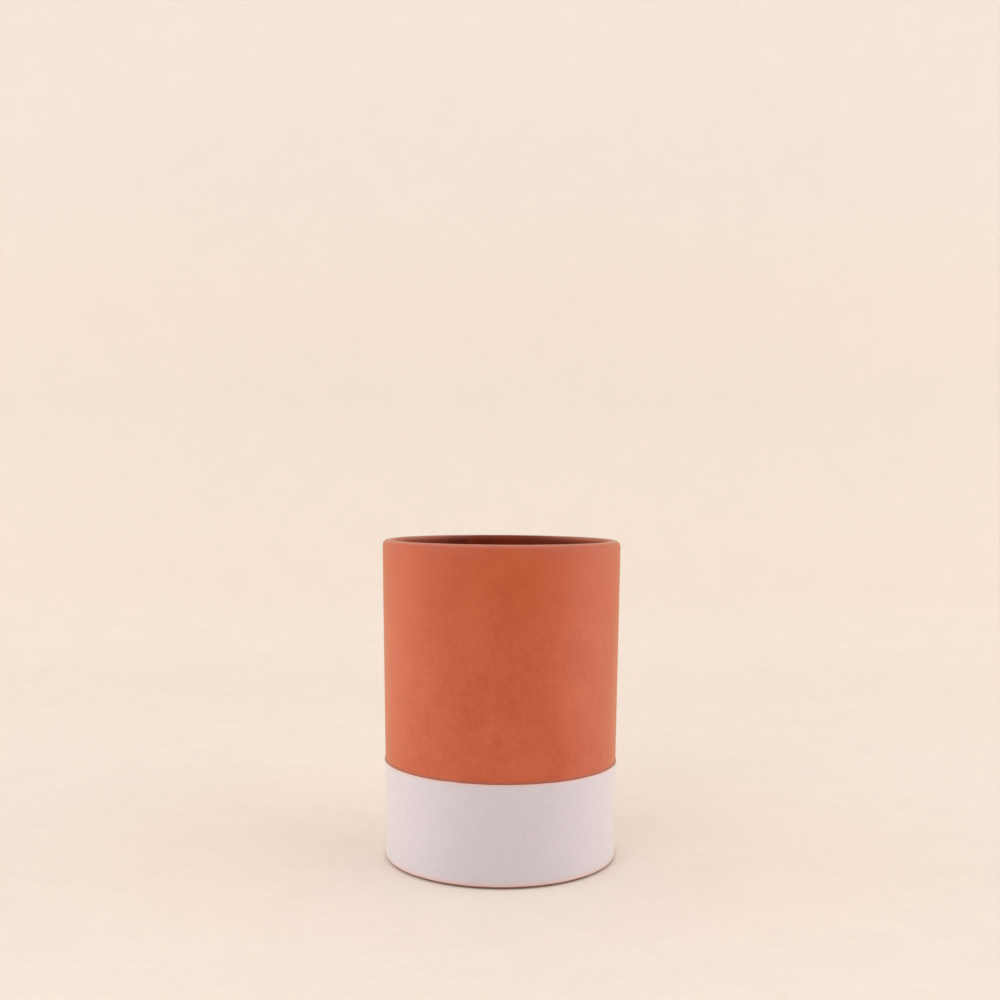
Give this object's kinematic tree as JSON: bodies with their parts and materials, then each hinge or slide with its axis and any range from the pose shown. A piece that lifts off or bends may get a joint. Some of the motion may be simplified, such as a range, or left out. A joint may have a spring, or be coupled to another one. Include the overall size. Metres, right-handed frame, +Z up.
{
  "type": "ceramic tube vase",
  "caption": "Free-standing terracotta tube vase, slightly wider at its rounded rim, with a white dipped band round the foot and a gloss lining.",
  "frame": {"origin": "centre of the foot, on the surface that the vase stands on", "axes": "+Z up along the axis of the tube; +X to the right as the picture shows it"},
  "size_m": [0.1, 0.1, 0.1324],
  "materials": {
    "terracotta": "matte",
    "bare_clay": "matte",
    "white_glaze": "satin",
    "clear_glaze": "gloss"
  },
  "bodies": {
    "root": {"clay_base": "bare_clay", "clay_tube": "terracotta", "corner_coil": "bare_clay", "clear_glaze_lining": "clear_glaze", "white_glaze_band": "white_glaze"}
  },
  "joints": []
}
